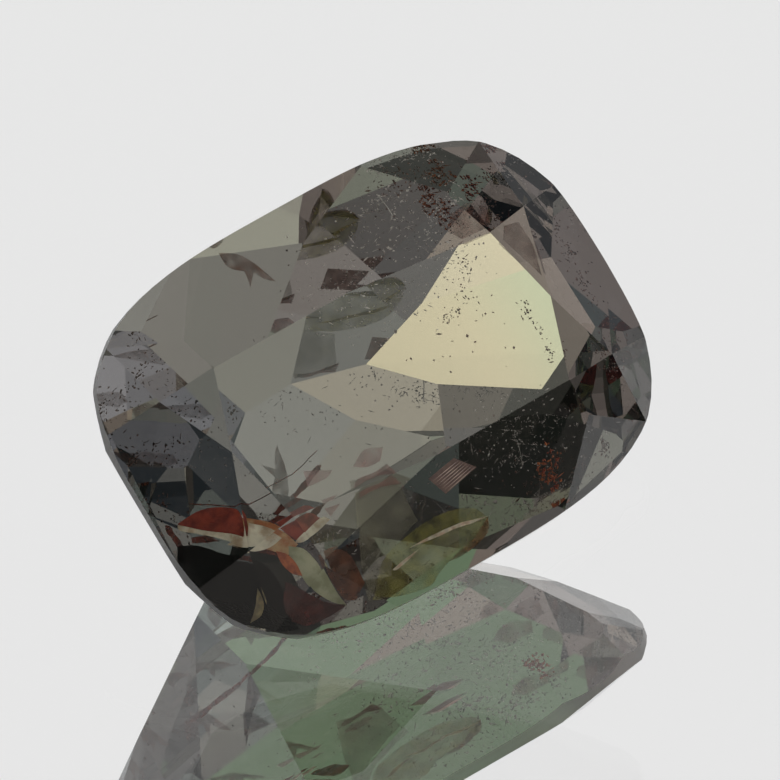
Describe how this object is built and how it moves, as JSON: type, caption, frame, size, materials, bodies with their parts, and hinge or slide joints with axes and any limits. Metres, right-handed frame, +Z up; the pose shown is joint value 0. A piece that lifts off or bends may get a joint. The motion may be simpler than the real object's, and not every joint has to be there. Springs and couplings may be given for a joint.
{
  "type": "faceted cushion-cut alexandrite gemstone",
  "caption": "Loose faceted gemstone of chrysoberyl, cushion outline, brilliant crown and stepped keel below, grey-green and see-through, lying tilted on a facet of its underside.",
  "frame": {"origin": "centre of the bounding box in X and Y, at the height of the facet the stone lies on", "axes": "+Z up, +X along the stone's long axis; the stone leans so that its table faces up and towards -Y"},
  "size_m": [0.0072, 0.0044, 0.0033],
  "materials": {
    "alexandrite": "polished flat facets, clear grey-green crystal"
  },
  "bodies": {
    "root": {"alexandrite": "alexandrite"}
  },
  "joints": []
}
